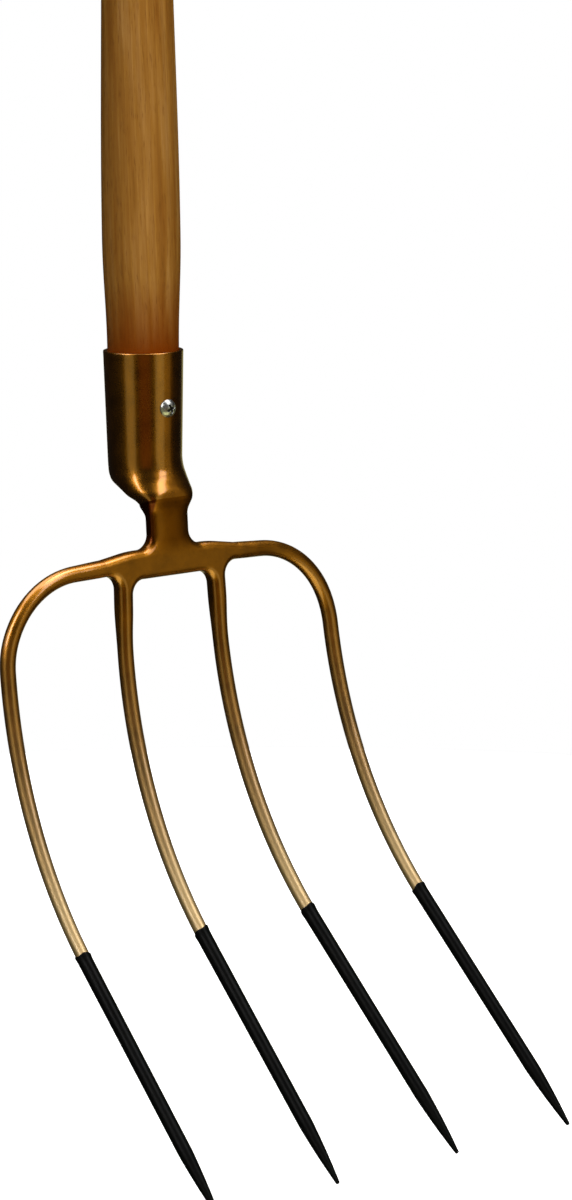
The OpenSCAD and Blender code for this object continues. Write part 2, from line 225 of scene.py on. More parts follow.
def smooth_table(rows, count):
    """Rows of numbers, sampled evenly and smoothly along their first column."""
    rows = np.array(rows, float)
    at = np.linspace(rows[0, 0], rows[-1, 0], count)
    slopes = np.gradient(rows, rows[:, 0], axis=0)
    k = np.clip(np.searchsorted(rows[:, 0], at, side="right") - 1, 0, len(rows) - 2)
    step = (rows[k + 1, 0] - rows[k, 0])[:, None]
    u = (at - rows[k, 0])[:, None] / step
    return (
        (2 * u**3 - 3 * u**2 + 1) * rows[k]
        + (u**3 - 2 * u**2 + u) * step * slopes[k]
        + (3 * u**2 - 2 * u**3) * rows[k + 1]
        + (u**3 - u**2) * step * slopes[k + 1]
    )


def ring_faces(count, sides, closed_loop=False):
    """Quads between rings of points that each go once round."""
    faces = []
    for r in range(count if closed_loop else count - 1):
        low = r * sides
        high = (r + 1) % count * sides
        for i in range(sides):
            j = (i + 1) % sides
            faces.append((low + i, low + j, high + j, high + i))
    return faces


def tube_of(points):
    """Points in rings and the faces that skin them, with one face over each end."""
    count, sides = points.shape[:2]
    faces = ring_faces(count, sides)
    faces.append(tuple(range(sides)))
    faces.append(tuple(range((count - 1) * sides, count * sides)))
    return points.reshape(-1, 3), faces


def add_piece(name, points, faces, material, node, grain=None):
    """A smooth mesh piece that rides on the body and stands for a node."""
    mesh = bpy.data.meshes.new(name)
    mesh.from_pydata((np.asarray(points) * MM).tolist(), [], faces)
    if grain is not None:
        layer = mesh.attributes.new("grain", "FLOAT_VECTOR", "POINT")
        layer.data.foreach_set("vector", np.asarray(grain, np.float32).ravel())
    work = bmesh.new()
    work.from_mesh(mesh)
    bmesh.ops.recalc_face_normals(work, faces=work.faces)
    work.to_mesh(mesh)
    work.free()
    mesh.shade_smooth()
    mesh.set_sharp_from_angle(angle=SHARP_ANGLE)
    mesh.materials.append(material)
    piece = bpy.data.objects.new(name, mesh)
    bpy.context.scene.collection.objects.link(piece)
    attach(piece, BODY)
    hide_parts(node)
    return piece


# Finishes, in linear colours. A spread, or a finish's roughness, is two values of a noise and what
# they turn into.

WOOD_STOPS = [
    (0.34, (0.230, 0.078, 0.009)),
    (0.50, (0.375, 0.170, 0.029)),
    (0.66, (0.490, 0.255, 0.072)),
]
# Turn of the wood's grain away from the handle's axis, in radians
WOOD_TILT = (0.012, 0.022, 0)
WOOD_GLOSS = 0.01
WOOD_ROUGH = (0.2, 0.8, 0.42, 0.60)
# Shift in metres that puts the axis of the growth rings beside the handle
RING_SHIFT = (0.062, -0.03, 0)
RING_TONE = (0.200, 0.076, 0.013)
RING_SPREAD = (0.0, 1.0, 0.0, 0.42)
CLOUD_TONE = (0.300, 0.128, 0.020)
CLOUD_SPREAD = (0.35, 0.70, 0.0, 0.45)
FIBRE_TONE = (0.215, 0.085, 0.014)
FIBRE_SPREAD = (0.40, 0.75, 0.0, 0.40)
PORE_TONE = (0.105, 0.035, 0.006)
PORE_SPREAD = (0.60, 0.70, 0.0, 1.0)
PORE_SHARE = 0.55
# The stain's share, the heights above the socket's mouth where it starts to fade and is gone, and
# how far its edge wanders
STAIN_TONE = (0.170, 0.031, 0.0005)
STAIN_SHARE = 0.96
STAIN_LOW = 8.0
STAIN_HIGH = 46.0
STAIN_WANDER = 20.0

LACQUER_TONE = (0.38, 0.145, 0.008)
# Values of the mottling, and how bright the lacquer is there
MOTTLE_STOPS = [(0.28, 0.76), (0.52, 1.0), (0.80, 1.14)]
# Values of the mottling between which the roughness goes from its first share to its second
MOTTLE_RANGE = (0.25, 0.8)
ROUGH_SHARES = (0.9, 1.15)
LINE_SPREAD = (0.52, 0.75, 0.0, 0.22)
LINE_SHADE = 0.4
SPECK_SPREAD = (0.70, 0.80, 0.0, 0.35)
SPECK_SHADE = 0.3
COAT = 0.5
COAT_ROUGH = 0.14
COAT_IOR = 1.8
# Distances from a tine's tip over which its lacquer grows paler, as a painted reflection, and more
# matte
PALER_RANGE = (305.0, 170.0)
# Pale cream of the painted reflection on the lower tines
PALE_REFLECTION_TONE = (0.44, 0.31, 0.15)
PALER_MATTE = 0.16
PALER_COAT = 0.2
# Heights between which the neck grows darker with painted shade, and loses its gloss
NECK_Z = MOUTH_Z - SHOULDER_DROP + SHOULDER_UP
NECK_SHADE_RISE = (NECK_Z - 2.0, NECK_Z + 4.0)
DULL_RISE = (NECK_Z - 5.0, NECK_Z + 3.0)
# Squares of the distance from the neck's middle, and the shares of painted shade there: some over
# the whole neck, most along its sides
NECK_SHADE_RANGE = (10.2**2, 11.1**2)
NECK_SHADE_SHARES = (0.45, 0.95)
# Dark red-brown of the neck's painted shade
NECK_SHADE_TONE = (0.06, 0.008, 0.0005)
NECK_COAT = 0.05

ENAMEL_STOPS = [(0.3, (0.0018, 0.0018, 0.0019)), (0.7, (0.0044, 0.0043, 0.0042))]
ENAMEL_GLOSS = 0.035
ENAMEL_ROUGH = (0.3, 0.75, 0.24, 0.42)
SCUFF_TONE = (0.020, 0.019, 0.019)
SCUFF_SPREAD = (0.60, 0.74, 0.0, 1.0)
SCUFF_SHARE = 0.3

ZINC_STOPS = [(0.3, (0.24, 0.245, 0.24)), (0.7, (0.42, 0.425, 0.41))]
ZINC_ROUGH = (0.25, 0.75, 0.22, 0.40)
# Painted shade in the screw's cross recess
RECESS_SHADE_TONE = (0.022, 0.019, 0.014)
RECESS_SHADE_SPREAD = (0.1, 0.9, 0.0, 0.92)


def shaded(tone, share):
    return tuple(share * c for c in tone)


class Shader:
    """A material's node tree, made one node at a time."""

    def __init__(self, name):
        self.material = bpy.data.materials.new(name)
        self.material.use_nodes = True
        self.tree = self.material.node_tree
        self.surface = self.tree.nodes["Principled BSDF"]

    def add(self, kind, inputs=None, **settings):
        node = self.tree.nodes.new("ShaderNode" + kind)
        for key, value in settings.items():
            setattr(node, key, value)
        for key, value in (inputs or {}).items():
            self.put(node.inputs[key], value)
        return node

    def put(self, socket, value):
        if isinstance(value, bpy.types.NodeSocket):
            self.tree.links.new(value, socket)
        else:
            socket.default_value = value

    def ramp(self, factor, stops):
        node = self.add("ValToRGB", {"Fac": factor})
        elements = node.color_ramp.elements
        while len(elements) < len(stops):
            elements.new(0.5)
        for element, (place, colour) in zip(elements, stops):
            element.position = place
            element.color = (*colour, 1)
        return node.outputs["Color"]

    def blend(self, factor, a, b):
        """Two colours mixed, through the colour sockets of a mix node."""
        node = self.add("Mix", data_type="RGBA")
        self.put(node.inputs["Factor"], factor)
        for socket, value in zip(node.inputs[6:8], (a, b)):
            self.put(socket, (*value, 1) if isinstance(value, tuple) else value)
        return node.outputs[2]

    def spread(self, value, low, high, to_low, to_high):
        """Values from low to high turned evenly into values from to_low to to_high."""
        ends = {"From Min": low, "From Max": high, "To Min": to_low, "To Max": to_high}
        return self.add("MapRange", {"Value": value, **ends}).outputs["Result"]

    def plus(self, a, b):
        return self.add("Math", {0: a, 1: b}).outputs[0]

    def times(self, a, b):
        return self.add("Math", {0: a, 1: b}, operation="MULTIPLY").outputs[0]

    def place(self):
        return self.add("TexCoord").outputs["Object"]

    def grain(self):
        return self.add("Attribute", attribute_name="grain").outputs["Vector"]

    def component(self, vector, axis):
        return self.add("SeparateXYZ", {"Vector": vector}).outputs[axis]

    def noise(self, vector, scale, detail=4.0, roughness=0.55):
        node = self.add(
            "TexNoise",
            {"Vector": vector, "Scale": scale, "Detail": detail, "Roughness": roughness},
        )
        return node.outputs["Fac"]

    def stretch(self, vector, scale, turn=(0, 0, 0), shift=(0, 0, 0)):
        node = self.add(
            "Mapping",
            {"Vector": vector, "Location": shift, "Rotation": turn, "Scale": scale},
        )
        return node.outputs["Vector"]

    def long_noise(self, vector, shrink, scale, detail, roughness=0.55):
        """Noise that is drawn out along Z, where lengths count for less by a factor."""
        return self.noise(self.stretch(vector, (1, 1, shrink)), scale, detail, roughness)

    def bumps(self, *layers):
        """Bump nodes in a row, each with a height, a strength and a distance in metres."""
        normal = None
        for height, strength, distance in layers:
            inputs = {"Height": height, "Strength": strength, "Distance": distance}
            if normal is not None:
                inputs["Normal"] = normal
            normal = self.add("Bump", inputs).outputs["Normal"]
        self.put(self.surface.inputs["Normal"], normal)

    def finish(self, **inputs):
        for key, value in inputs.items():
            self.put(self.surface.inputs[key.replace("_", " ")], value)
        return self.material


def growth_rings(shader, vector):
    """Saw-toothed rings about an axis beside the handle, drawn out along it."""
    return shader.add(
        "TexWave",
        {
            "Vector": shader.stretch(vector, (1, 1, 0.035), shift=RING_SHIFT),
            "Scale": 78.0,
            "Distortion": 5.0,
            "Detail": 3.0,
            "Detail Scale": 0.55,
            "Detail Roughness": 0.5,
        },
        wave_type="RINGS",
        rings_direction="Z",
        wave_profile="SAW",
    ).outputs["Fac"]


def wood_material():
    """Oiled ash: streaks, growth rings, fibres and pores, and a stained foot above the socket."""
    shader = Shader("oiled_ash")
    place = shader.place()
    tilted = shader.stretch(place, (1, 1, 1), turn=WOOD_TILT)
    rings = growth_rings(shader, tilted)
    streaks = shader.long_noise(tilted, shrink=0.05, scale=190.0, detail=5.0)
    fibres = shader.long_noise(tilted, shrink=0.022, scale=1500.0, detail=3.0, roughness=0.6)
    pores = shader.long_noise(tilted, shrink=0.045, scale=2600.0, detail=2.0, roughness=0.5)
    clouds = shader.long_noise(tilted, shrink=0.3, scale=26.0, detail=3.0)
    pore_mask = shader.spread(pores, *PORE_SPREAD)
    body = shader.ramp(streaks, WOOD_STOPS)
    ringed = shader.blend(shader.spread(rings, *RING_SPREAD), body, RING_TONE)
    clouded = shader.blend(shader.spread(clouds, *CLOUD_SPREAD), ringed, CLOUD_TONE)
    fibred = shader.blend(shader.spread(fibres, *FIBRE_SPREAD), clouded, FIBRE_TONE)
    pored = shader.blend(shader.times(pore_mask, PORE_SHARE), fibred, PORE_TONE)
    edge = shader.plus(shader.component(place, "Z"), shader.times(clouds, STAIN_WANDER * MM))
    stain_heights = ((MOUTH_Z + STAIN_LOW) * MM, (MOUTH_Z + STAIN_HIGH) * MM)
    stain = shader.spread(edge, *stain_heights, STAIN_SHARE, 0.0)
    shader.bumps((pore_mask, 0.35, -0.0003), (fibres, 0.25, 0.0002), (rings, 0.10, 0.0003))
    return shader.finish(
        Base_Color=shader.blend(stain, pored, STAIN_TONE),
        Roughness=shader.spread(fibres, *WOOD_ROUGH),
        Specular_IOR_Level=WOOD_GLOSS,
    )


def lacquer_material(name, grain_scale, rough, pale_reflection_end=False, shaded_neck=False):
    """Gold-bronze lacquer on steel: drawn lines along the metal, mottled tone and a clear gloss.

    On a tine it grows paler towards the dip, as a painted reflection. The neck of the head is
    duller, and darker with painted shade, most of all along its sides.
    """
    shader = Shader(name)
    grain = shader.grain()
    place = shader.place()
    lines = shader.noise(shader.stretch(grain, grain_scale), scale=1.0, detail=3.0, roughness=0.6)
    mottle = shader.noise(place, scale=95.0)
    specks = shader.noise(place, scale=620.0, detail=2.0)
    base = shader.ramp(mottle, [(at, shaded(LACQUER_TONE, share)) for at, share in MOTTLE_STOPS])
    roughness = shader.spread(mottle, *MOTTLE_RANGE, *(rough * share for share in ROUGH_SHARES))
    coat = COAT
    # Painted reflection: the tine's lacquer grows paler towards the dip
    if pale_reflection_end:
        from_tip = shader.component(grain, "Z")
        base = shader.blend(shader.spread(from_tip, *PALER_RANGE, 0.0, 1.0), base, PALE_REFLECTION_TONE)
        matte = shader.spread(from_tip, *PALER_RANGE, 0.0, PALER_MATTE)
        roughness = shader.plus(roughness, matte)
        coat = shader.spread(from_tip, *PALER_RANGE, COAT, PALER_COAT)
    # Painted shade over the neck, strongest along its sides
    if shaded_neck:
        height = shader.component(grain, "Z")
        across = shader.component(grain, "X")
        on_neck = shader.spread(height, *NECK_SHADE_RISE, 0.0, 1.0)
        neck_shade = shader.spread(shader.times(across, across), *NECK_SHADE_RANGE, *NECK_SHADE_SHARES)
        base = shader.blend(shader.times(on_neck, neck_shade), base, NECK_SHADE_TONE)
        coat = shader.spread(height, *DULL_RISE, COAT, NECK_COAT)
    line_mask = shader.spread(lines, *LINE_SPREAD)
    lined = shader.blend(line_mask, base, shaded(LACQUER_TONE, LINE_SHADE))
    speck_mask = shader.spread(specks, *SPECK_SPREAD)
    specked = shader.blend(speck_mask, lined, shaded(LACQUER_TONE, SPECK_SHADE))
    shader.bumps((lines, 0.10, 0.0002), (mottle, 0.12, 0.0008), (specks, 0.06, 0.0002))
    return shader.finish(
        Base_Color=specked,
        Metallic=1.0,
        Roughness=roughness,
        Coat_Weight=coat,
        Coat_Roughness=COAT_ROUGH,
        Coat_IOR=COAT_IOR,
    )


def dip_material():
    """Black enamel that was dipped on: orange peel, faint runs along the tine and scuffs."""
    shader = Shader("black_enamel")
    grain = shader.grain()
    peel = shader.noise(shader.place(), scale=700.0, detail=2.0)
    runs = shader.noise(shader.stretch(grain, (4.0, 4.0, 0.06)), scale=1.0, detail=3.0)
    scuffed = shader.stretch(grain, (9.0, 9.0, 0.5))
    scuffs = shader.noise(scuffed, scale=1.0, detail=5.0, roughness=0.65)
    scuff_mask = shader.times(shader.spread(scuffs, *SCUFF_SPREAD), SCUFF_SHARE)
    shader.bumps((peel, 0.10, 0.0003), (runs, 0.12, 0.0005))
    return shader.finish(
        Base_Color=shader.blend(scuff_mask, shader.ramp(runs, ENAMEL_STOPS), SCUFF_TONE),
        Roughness=shader.spread(scuffs, *ENAMEL_ROUGH),
        Specular_IOR_Level=ENAMEL_GLOSS,
    )


def zinc_material():
    """Faintly clouded zinc plate, with painted shade where the grain's third number marks the
    recess.
    """
    shader = Shader("zinc_plate")
    depth = shader.component(shader.grain(), "Z")
    cloud = shader.noise(shader.place(), scale=900.0, detail=3.0)
    tone = shader.ramp(cloud, ZINC_STOPS)
    shader.bumps((cloud, 0.12, 0.0002))
    return shader.finish(
        Base_Color=shader.blend(shader.spread(depth, *RECESS_SHADE_SPREAD), tone, RECESS_SHADE_TONE),
        Metallic=0.9,
        Roughness=shader.spread(cloud, *ZINC_ROUGH),
    )


wood = wood_material()
socket_lacquer = lacquer_material("lacquer_socket", grain_scale=(24.0, 24.0, 0.10), rough=0.27)
# The head's lacquer carries painted shade on the neck
head_lacquer = lacquer_material(
    "lacquer_head", grain_scale=(0.35, 0.35, 0.35), rough=0.36, shaded_neck=True
)
# The tines' lacquer grows paler towards the dip as a painted reflection
tine_lacquer = lacquer_material(
    "lacquer_tines", grain_scale=(7.0, 7.0, 0.05), rough=0.36, pale_reflection_end=True
)
dip = dip_material()
zinc = zinc_material()


# Handle


def handle_profile():
    """Radius and height from the lower end, in the socket, to the rounded top."""
    lower = np.linspace(MOUTH_Z, MOUTH_Z + SWELL_Z, SWELL_ROWS)
    upper = np.linspace(MOUTH_Z + SWELL_Z, MOUTH_Z + TAPER_L, TAPER_ROWS)[1:]
    grip = np.linspace(MOUTH_Z + TAPER_L, HANDLE_TOP_Z - TOP_ROUND, GRIP_ROWS)[1:-1]
    turn = np.linspace(0, math.pi / 2, TOP_ROWS)
    mouth = bore_r(MOUTH_Z) - HANDLE_FIT
    foot = bore_r(HANDLE_END_Z) - HANDLE_FIT
    radii = np.concatenate(
        [
            [foot],
            mix(mouth, SWELL_D / 2, ease((lower - MOUTH_Z) / SWELL_Z)),
            mix(SWELL_D / 2, GRIP_D / 2, ease((upper - MOUTH_Z - SWELL_Z) / (TAPER_L - SWELL_Z))),
            np.full(len(grip), GRIP_D / 2),
            GRIP_D / 2 - TOP_ROUND * (1 - np.cos(turn)),
        ]
    )
    heights = np.concatenate(
        [[HANDLE_END_Z], lower, upper, grip, HANDLE_TOP_Z - TOP_ROUND * (1 - np.sin(turn))]
    )
    return radii, heights


def make_handle():
    radii, heights = handle_profile()
    angles = np.linspace(0, 2 * math.pi, HANDLE_SIDES, endpoint=False)
    x = radii[:, None] * np.cos(angles)
    y = radii[:, None] * np.sin(angles)
    z = np.repeat(heights[:, None], HANDLE_SIDES, 1)
    points, faces = tube_of(np.stack([x, y, z], -1))
    add_piece("wood_handle", points, faces, wood, "handle")


# Socket

# Shares of the way down, then of the way from tube to collar that is made there by the back wall,
# by the front wall, by the side walls and by the line where the section is widest
THROAT_SHARES = [
    [0, 0, 0, 0, 0],
    [0.22, 0.01, 0.06, 0.01, 0.03],
    [0.44, 0.05, 0.15, 0.05, 0.11],
    [0.58, 0.15, 0.27, 0.09, 0.22],
    [0.71, 0.44, 0.48, 0.14, 0.40],
    [0.82, 0.76, 0.84, 0.27, 0.56],
    [0.91, 0.95, 0.99, 0.70, 0.80],
    [1, 1, 1, 1, 1],
]
THROAT_RINGS = 44
TUBE_RINGS = 26
LIP_STEPS = 4
# Number of the lowest ring that the seam cuts
SEAM_END = LIP_STEPS + TUBE_RINGS - 1


def neck_y(z):
    """Place of the neck's middle plane at a height."""
    return -HEAD_SET + (z - MOUTH_Z + SHOULDER_DROP) * math.tan(HEAD_LEAN)


def throat_ring(shares, inset, end_power, angles):
    """A ring of the throat, inset from its outside, on the way from the tube to the collar."""
    down, at_back, at_front, at_side, at_widest = shares
    round_r = tube_r(TUBE_END_Z)
    back = mix(round_r, neck_y(COLLAR_Z) + COLLAR_T, at_back)
    front = mix(-round_r, neck_y(COLLAR_Z) - COLLAR_T, at_front)
    side = mix(round_r, COLLAR_W, at_side)
    widest = mix(0, neck_y(COLLAR_Z), at_widest)
    power = mix(2, end_power, at_side)
    x, unit_y = oval(side - inset, 1, power, angles)
    depth = np.where(unit_y > 0, back - widest, widest - front) - inset
    y = widest + unit_y * depth
    end_z = COLLAR_Z + math.tan(COLLAR_TILT) * (back - y)
    return np.stack([x, y, mix(TUBE_END_Z, end_z, down)], -1)


def tube_ring(r, z, angles):
    return np.stack([r * np.cos(angles), r * np.sin(angles), np.full_like(angles, z)], -1)


def wall_rings(radius, lip_side, inset, end_power, angles):
    """Rings of the wall's outside or inside, from the mouth's lip down the tube and the throat."""
    rings = [
        tube_ring(
            radius(MOUTH_Z) + lip_side * LIP_R * (1 - math.cos(a)),
            MOUTH_Z - LIP_R * (1 - math.sin(a)),
            angles,
        )
        for a in np.linspace(math.pi / 2, 0, LIP_STEPS + 1)
    ]
    cut_heights = np.linspace(MOUTH_Z - LIP_R, TUBE_END_Z + SEAM_END_RISE, TUBE_RINGS)[1:]
    for z in (*cut_heights, TUBE_END_Z + SEAM_END_RISE / 2):
        rings.append(tube_ring(radius(z), z, angles))
    for shares in smooth_table(THROAT_SHARES, THROAT_RINGS):
        rings.append(throat_ring(shares, inset, end_power, angles))
    return rings


def socket_faces(count):
    """Faces of the wall, open along the seam, then those of the seam's two sides and its end."""
    faces = []
    last = SOCKET_SIDES - 1
    for r in range(count):
        after = (r + 1) % count
        low = r * SOCKET_SIDES
        high = after * SOCKET_SIDES
        in_seam = max(min(r, count - 1 - r), min(after, count - 1 - after)) <= SEAM_END
        for i in range(last if in_seam else SOCKET_SIDES):
            j = (i + 1) % SOCKET_SIDES
            faces.append((low + i, low + j, high + j, high + i))
    for k in range(SEAM_END):
        twin = count - 1 - k
        for column in (0, last):
            faces.append(tuple(r * SOCKET_SIDES + column for r in (k, k + 1, twin - 1, twin)))
    twin = count - 1 - SEAM_END
    corners = [(SEAM_END, 0), (SEAM_END, last), (twin, last), (twin, 0)]
    faces.append(tuple(r * SOCKET_SIDES + column for r, column in corners))
    return faces


def make_socket():
    half_seam = math.asin(SEAM_W / 2 / tube_r(MOUTH_Z))
    angles = np.linspace(math.pi / 2 + half_seam, 5 * math.pi / 2 - half_seam, SOCKET_SIDES)
    outer = wall_rings(tube_r, -1, 0, COLLAR_POWER, angles)
    inner = wall_rings(bore_r, 1, SOCKET_WALL, HOLE_POWER, angles)
    rings = outer + inner[::-1]
    points = np.concatenate(rings)
    faces = socket_faces(len(rings))
    turn = np.tile(angles, len(rings))
    grain = np.stack([np.cos(turn), np.sin(turn), points[:, 2]], -1)
    add_piece("steel_socket", points, faces, socket_lacquer, "socket", grain)


# Weld

# Shares of the weld's height, and of its full thickness there
WELD_SHARES = [[0, 1], [0.15, 0.90], [0.35, 0.58], [0.6, 0.20], [0.85, 0.03], [1, 0]]
WELD_ROWS = 24
WELD_SIDES = 240
# Squareness of the neck's own rounded section
NECK_POWER = 2.9


def weld_ring(down, thick, angles):
    """A ring of the weld, which follows the collar at its top and the leaning neck at its foot."""
    z = COLLAR_Z - WELD_H * down
    grow = (COLLAR_FIT + SOCKET_WALL) * thick
    power = mix(NECK_POWER, COLLAR_POWER, thick)
    x, y = oval(NECK_W / 2 + grow, PLATE_T / 2 + grow, power, angles)
    rise = math.tan(COLLAR_TILT) * (COLLAR_T - y)
    return np.stack([x, y + neck_y(z + rise * down), z + rise], -1)


def make_weld():
    angles = np.linspace(0, 2 * math.pi, WELD_SIDES, endpoint=False)
    rings = [weld_ring(down, thick, angles) for down, thick in smooth_table(WELD_SHARES, WELD_ROWS)]
    rings.append(weld_ring(0, 0, angles))
    points = np.concatenate(rings)
    faces = ring_faces(len(rings), WELD_SIDES, closed_loop=True)
    add_piece(
        "weld_bead", points, faces, head_lacquer, "socket_weld", points
    )


# Fixing screw

SCREW_SIDES = 128
SCREW_ROWS = 40
RECESS_SOFT = 0.22
# Share of the recess's length, from its middle, where an arm's floor starts to rise to its end
ARM_RISE = 0.3
# Share of the seat's depth at which the rim has one more ring
RIM_SHARE = 0.35
SCREW_TURN = math.radians(25)


def soft_step(value, low, high):
    """A smooth rise from 0 to 1 as a value goes from low to high."""
    u = np.clip((value - low) / (high - low), 0, 1)
    return u * u * (3 - 2 * u)


def recess_shares(across, up):
    """Share of the recess's depth at places on the screw's head: a cross with soft edges."""
    arms = []
    for along, side in ((np.abs(across), np.abs(up)), (np.abs(up), np.abs(across))):
        inside = 1 - soft_step(side, RECESS_W / 2 - RECESS_SOFT, RECESS_W / 2 + RECESS_SOFT)
        arms.append(inside * (1 - soft_step(along, ARM_RISE * RECESS_L, RECESS_L / 2)))
    return np.maximum(*arms)


def make_screw():
    seat_r = tube_r(SCREW_Z)
    head_r = SCREW_HEAD_D / 2
    seat = seat_r - math.sqrt(seat_r**2 - head_r**2)
    dome_r = (head_r**2 + SCREW_HEAD_H**2) / (2 * SCREW_HEAD_H)
    angles = np.linspace(0, 2 * math.pi, SCREW_SIDES, endpoint=False)
    rings = []
    recess_shade = []
    for share in np.linspace(0, 1, SCREW_ROWS)[1:]:
        r = head_r * share
        across = r * np.cos(angles)
        up = r * np.sin(angles)
        height = math.sqrt(dome_r**2 - r**2) - (dome_r - SCREW_HEAD_H)
        recess = recess_shares(across, up)
        rings.append(np.stack([across, up, height - RECESS_H * recess], -1))
        recess_shade.append(recess)
    for depth in (RIM_SHARE * seat, seat):
        rings.append(tube_ring(head_r, -depth, angles))
        recess_shade.append(np.zeros_like(angles))
    local = np.concatenate(rings + [np.array([[0, 0, SCREW_HEAD_H - RECESS_H]])])
    recess_shade = np.concatenate(recess_shade + [np.ones(1)])
    faces = ring_faces(len(rings), SCREW_SIDES)
    faces += [(i, (i + 1) % SCREW_SIDES, len(local) - 1) for i in range(SCREW_SIDES)]
    faces.append(tuple(range((len(rings) - 1) * SCREW_SIDES, len(rings) * SCREW_SIDES)))
    across = local[:, 0] * math.cos(SCREW_TURN) - local[:, 1] * math.sin(SCREW_TURN)
    up = local[:, 0] * math.sin(SCREW_TURN) + local[:, 1] * math.cos(SCREW_TURN)
    points = np.stack([across, -seat_r - local[:, 2], SCREW_Z + up], -1)
    # The grain's third number is the share of painted shade in the recess
    grain = np.stack([across, up, recess_shade], -1)
    add_piece("cross_head_screw", points, faces, zinc, "fixing_screw", grain)


# Head forging


def arc_points(before, here, after, radius):
    """A corner replaced by an arc, as points with the outline's inward direction at each."""
    into = (here - before) / np.linalg.norm(here - before)
    out = (after - here) / np.linalg.norm(after - here)
    turn = math.atan2(into[0] * out[1] - into[1] * out[0], into @ out)
    side = math.copysign(1, turn)
    left = np.array([-into[1], into[0]])
    centre = here - into * radius * math.tan(abs(turn) / 2) + left * radius * side
    found = []
    for a in np.linspace(0, turn, FILLET_STEPS + 1):
        inward = left * math.cos(a) - into * math.sin(a)
        found.append((centre - inward * radius * side, inward))
    return found


def rounded_outline(corners):
    """The outline's points. A corner of radius zero ends a flat face that meets a tine."""
    found = []
    places = [np.array(c[:2]) for c in corners]
    count = len(corners)
    for i, corner in enumerate(corners):
        before = places[i - 1]
        here = places[i]
        after = places[(i + 1) % count]
        if corner[2] > 0:
            found += arc_points(before, here, after, corner[2])
        else:
            along = after if corners[(i + 1) % count][2] == 0 else before
            found.append((here, (along - here) / np.linalg.norm(along - here)))
    return found


# Distance of an inner tine's root from the middle, and the tang's top above the shoulder's line
STUB_MID = INNER_X + ROOT_S * math.tan(INNER_SPLAY)
TANG_TOP = (COLLAR_Z - MOUTH_Z + SHOULDER_DROP) / math.cos(HEAD_LEAN) + TANG_L
TANG_ROUND = NECK_W / 4
# Half the thickness of the flat strip along the head's edge
SIDE_T = PLATE_T / 2 - EDGE_R
# Squareness of the neck's crowned front and back
CROWN_POWER = 2.5
CROWN_COLUMNS = 14


def head_outline():
    """The right half from the bottom up, then the left half.

    A corner is x, the height above the shoulder's line, and a radius.
    """
    stub_w = ROOT_W / math.cos(INNER_SPLAY)
    stub_half = ROOT_W / 2 * math.cos(INNER_SPLAY)
    stub_tilt = ROOT_W / 2 * math.sin(INNER_SPLAY)
    root_rise = ROOT_W / 2 * math.cos(OUTER_DROOP)
    root_shift = ROOT_W / 2 * math.sin(OUTER_DROOP)
    half = [
        (INNER_X - stub_w / 2, -SHOULDER_DOWN, TINE_FILLET),
        (STUB_MID - stub_half, -ROOT_S - stub_tilt, 0),
        (STUB_MID + stub_half, -ROOT_S + stub_tilt, 0),
        (INNER_X + stub_w / 2, -root_rise, TINE_FILLET),
        (ROOT_X - root_shift, -root_rise, 0),
        (ROOT_X + root_shift, root_rise, 0),
        (mix(NECK_W / 2, ROOT_X, FULL_HEIGHT_SHARE), SHOULDER_UP, TOP_BEND),
        (NECK_W / 2, SHOULDER_UP, NECK_FILLET),
        (NECK_W / 2, TANG_TOP, TANG_ROUND),
    ]
    return rounded_outline(half + [(-x, y, r) for x, y, r in half[::-1]])


def crown_shares(heights):
    """How far the head's flat section has turned into the neck's crowned one at each height."""
    rise = soft_step(heights, SHOULDER_UP, SHOULDER_UP + NECK_FILLET)
    return rise * (1 - soft_step(heights, TANG_TOP - TANG_ROUND, TANG_TOP - TANG_ROUND / 2))


def crowned_points(flat, edge_x, t, shares):
    """Points of the head at a level t in front of its middle, lower where the neck is crowned."""
    out = np.clip(np.abs(flat[:, 0] / edge_x), 0, 1)
    crown = SIDE_T + EDGE_R * (1 - out**CROWN_POWER) ** (1 / CROWN_POWER)
    return set_point(flat[:, 0], -flat[:, 1], math.copysign(1, t) * mix(abs(t), crown, shares))


def crowned_side(places, flat, shares, t, ring_start, first_new):
    """The head's front or back inside its rounded edge: new points over the neck, and the faces."""
    count = len(places)
    middle = count // 2
    # Points on the right, over the arcs of the neck's fillet and of the tang's corner
    rows = np.arange(middle - 2 * (FILLET_STEPS + 1), middle - 1)
    across = np.linspace(1, -1, CROWN_COLUMNS + 1)[1:-1]
    grid = np.stack(
        [np.outer(flat[rows, 0], across), np.repeat(flat[rows, 1:], len(across), 1)], -1
    )
    edge_x = np.repeat(places[rows, 0], len(across))
    new = crowned_points(grid.reshape(-1, 2), edge_x, t, np.repeat(shares[rows], len(across)))
    ids = np.hstack(
        [
            ring_start + rows[:, None],
            first_new + np.arange(len(new)).reshape(len(rows), -1),
            ring_start + count - 1 - rows[:, None],
        ]
    ).tolist()
    faces = [
        (low[c], low[c + 1], high[c + 1], high[c])
        for low, high in zip(ids, ids[1:])
        for c in range(CROWN_COLUMNS)
    ]
    first = int(rows[0])
    below = [*range(count - 1 - first, count), *range(first + 1)]
    faces.append((*(ring_start + i for i in below), *ids[0][1:-1]))
    faces.append((*ids[-1], ring_start + middle, ring_start + middle - 1))
    return new, faces


